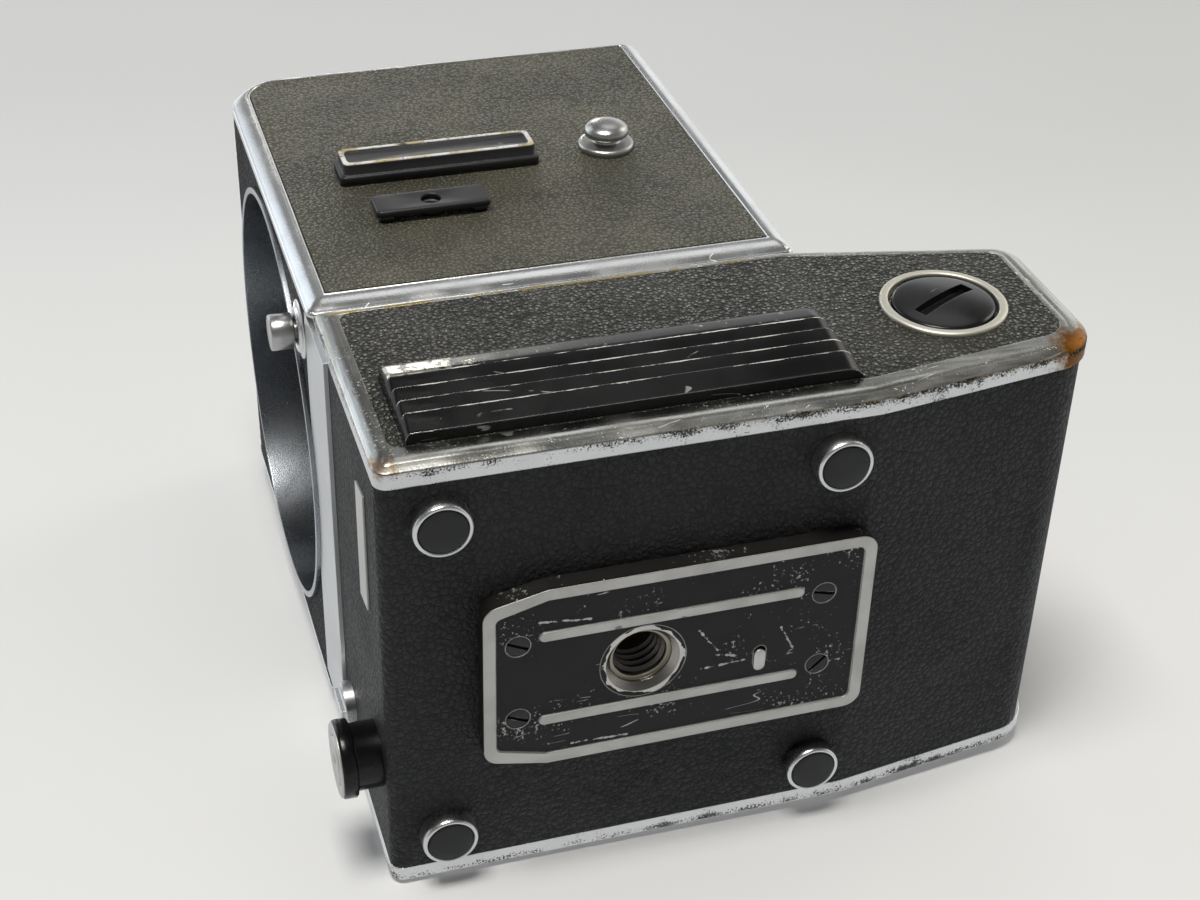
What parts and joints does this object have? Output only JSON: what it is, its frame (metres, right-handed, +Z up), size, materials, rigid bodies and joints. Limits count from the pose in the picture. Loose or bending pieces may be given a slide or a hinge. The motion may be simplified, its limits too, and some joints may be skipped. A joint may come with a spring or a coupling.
{
  "type": "medium format film camera",
  "caption": "Square-format single lens reflex camera body on a motor base, without lens, finder or film magazine.",
  "frame": {"origin": "on the axis of the tripod socket, level with the underside of the motor base", "axes": "+Z up, the lens mount faces -Y, +X towards the holder's left side with the battery cover"},
  "size_m": [0.0992, 0.1353, 0.1535],
  "materials": {
    "body_enamel": "black enamel on die-cast housings",
    "bright_chrome": "satin to bright chrome with worn edges",
    "olive_leathercloth": "fine grained black-olive leathercloth",
    "black_leathercloth": "soft black leathercloth",
    "satin_aluminium": "satin anodised aluminium",
    "bare_metal": "bare worn metal",
    "black_anodised": "black anodised or painted metal, worn",
    "grip_enamel": "gloss black enamel, worn at the ribs",
    "gloss_black": "gloss black",
    "foot_rubber": "black rubber",
    "screen_glass": "ground glass",
    "mirror_silver": "front-silvered mirror",
    "flap_black": "matt black",
    "gear_steel": "machined steel",
    "gear_brass": "machined brass",
    "motor_steel": "zinc plated steel",
    "cell_sleeve": "cell sleeve",
    "switch_plastic": "moulded phenolic"
  },
  "bodies": {
    "camera_body": {"motor_housing": "body_enamel", "base_leathercloth": "black_leathercloth", "front_band": "satin_aluminium", "front_strip": "bare_metal", "right_cover": "bright_chrome", "right_cover_leathercloth": "olive_leathercloth", "mode_scale_plate": "satin_aluminium", "switches": "switch_plastic", "foot_cups": "bright_chrome", "foot_pads": "foot_rubber", "tripod_plate": "black_anodised", "tripod_plate_screws": "black_anodised", "tripod_bushing": "bare_metal", "release_barrel": "black_anodised", "release_ring": "bare_metal", "body_shell": "body_enamel", "front_plate": "body_enamel", "front_leathercloth": "olive_leathercloth", "rear_plate": "body_enamel", "top_plate": "body_enamel", "screen_frame": "black_anodised", "focusing_screen": "screen_glass", "left_side_frame": "bright_chrome", "right_side_frame": "bright_chrome", "left_leathercloth": "olive_leathercloth", "right_leathercloth": "olive_leathercloth", "lens_mount_ring": "satin_aluminium", "bayonet_flange": "black_anodised", "mount_screws": "bare_metal", "lens_release_seat": "bright_chrome", "mirror_box": "flap_black", "hinge_pins": "gear_steel", "magazine_catches": "bare_metal", "nameplate": "black_anodised", "accessory_shoe": "black_anodised", "shoe_screw": "black_anodised", "strap_lugs": "bright_chrome", "motor": "motor_steel", "gear_plate": "motor_steel", "motor_cradle": "switch_plastic", "battery_cells": "cell_sleeve", "battery_tray": "motor_steel", "cover_lock_bracket": "motor_steel"},
    "mirror": {"mirror_carrier": "flap_black", "mirror_glass": "mirror_silver"},
    "upper_flap": {"upper_rear_flap": "flap_black"},
    "lower_flap": {"lower_rear_flap": "flap_black"},
    "lens_release": {"lens_release_button": "bright_chrome"},
    "shutter_release": {"release_button": "bare_metal"},
    "release_lock": {"release_lock": "bright_chrome"},
    "mode_dial": {"mode_dial": "black_anodised"},
    "battery_cover": {"battery_cover": "bright_chrome", "battery_cover_leathercloth": "olive_leathercloth", "ribbed_grip": "grip_enamel", "cover_lock_ring": "bright_chrome"},
    "cover_lock": {"cover_lock_screw": "gloss_black"},
    "drive_shaft": {"drive_shaft": "gear_steel", "magazine_drive_gear": "gear_steel"},
    "idler": {"idler_gear": "gear_brass"},
    "pinion": {"motor_pinion": "gear_steel"}
  },
  "joints": [
    {"name": "mirror_lift", "type": "hinge", "parent": "camera_body", "child": "mirror", "pos_m": [0, 0.0385, 0.1405], "axis": [-1, 0, 0], "range_deg": [0, 45]},
    {"name": "upper_flap_swing", "type": "hinge", "parent": "camera_body", "child": "upper_flap", "pos_m": [0, 0.041, 0.126], "axis": [-1, 0, 0], "range_deg": [0, 90]},
    {"name": "lower_flap_swing", "type": "hinge", "parent": "camera_body", "child": "lower_flap", "pos_m": [0, 0.041, 0.0675], "axis": [1, 0, 0], "range_deg": [0, 90]},
    {"name": "lens_release_press", "type": "slide", "parent": "camera_body", "child": "lens_release", "axis": [0, 1, 0], "range_m": [0, 0.002], "stiffness_N_per_m": 300, "springref_m": -0.002},
    {"name": "shutter_release_press", "type": "slide", "parent": "camera_body", "child": "shutter_release", "axis": [0, 1, 0], "range_m": [0, 0.002], "stiffness_N_per_m": 300, "springref_m": -0.002},
    {"name": "release_lock_turn", "type": "hinge", "parent": "camera_body", "child": "release_lock", "pos_m": [-0.03, -0.044, 0.0334], "axis": [0, -1, 0], "range_deg": [0, 90]},
    {"name": "mode_dial_turn", "type": "hinge", "parent": "camera_body", "child": "mode_dial", "pos_m": [-0.045, 0.044, 0.025], "axis": [-1, 0, 0], "range_deg": [0, 160]},
    {"name": "battery_cover_draw", "type": "slide", "parent": "camera_body", "child": "battery_cover", "axis": [1, 0, 0], "range_m": [0, 0.03]},
    {"name": "cover_lock_turn", "type": "hinge", "parent": "battery_cover", "child": "cover_lock", "pos_m": [0.045, 0.0628, 0.0245], "axis": [1, 0, 0], "range_deg": [0, 90]},
    {"name": "drive_shaft_spin", "type": "hinge", "parent": "camera_body", "child": "drive_shaft", "pos_m": [0, 0, 0.0576], "axis": [0, 1, 0], "continuous": true},
    {"name": "idler_spin", "type": "hinge", "parent": "camera_body", "child": "idler", "pos_m": [0, -0.014, 0.0404], "axis": [0, 1, 0], "continuous": true},
    {"name": "pinion_spin", "type": "hinge", "parent": "camera_body", "child": "pinion", "pos_m": [0, -0.014, 0.0232], "axis": [0, 1, 0], "continuous": true}
  ],
  "couplings": [
    {"joint": "upper_flap_swing", "follows": "mirror_lift", "ratio": 2},
    {"joint": "lower_flap_swing", "follows": "mirror_lift", "ratio": 2},
    {"joint": "idler_spin", "follows": "drive_shaft_spin", "ratio": -0.3871},
    {"joint": "pinion_spin", "follows": "drive_shaft_spin", "ratio": 1}
  ]
}
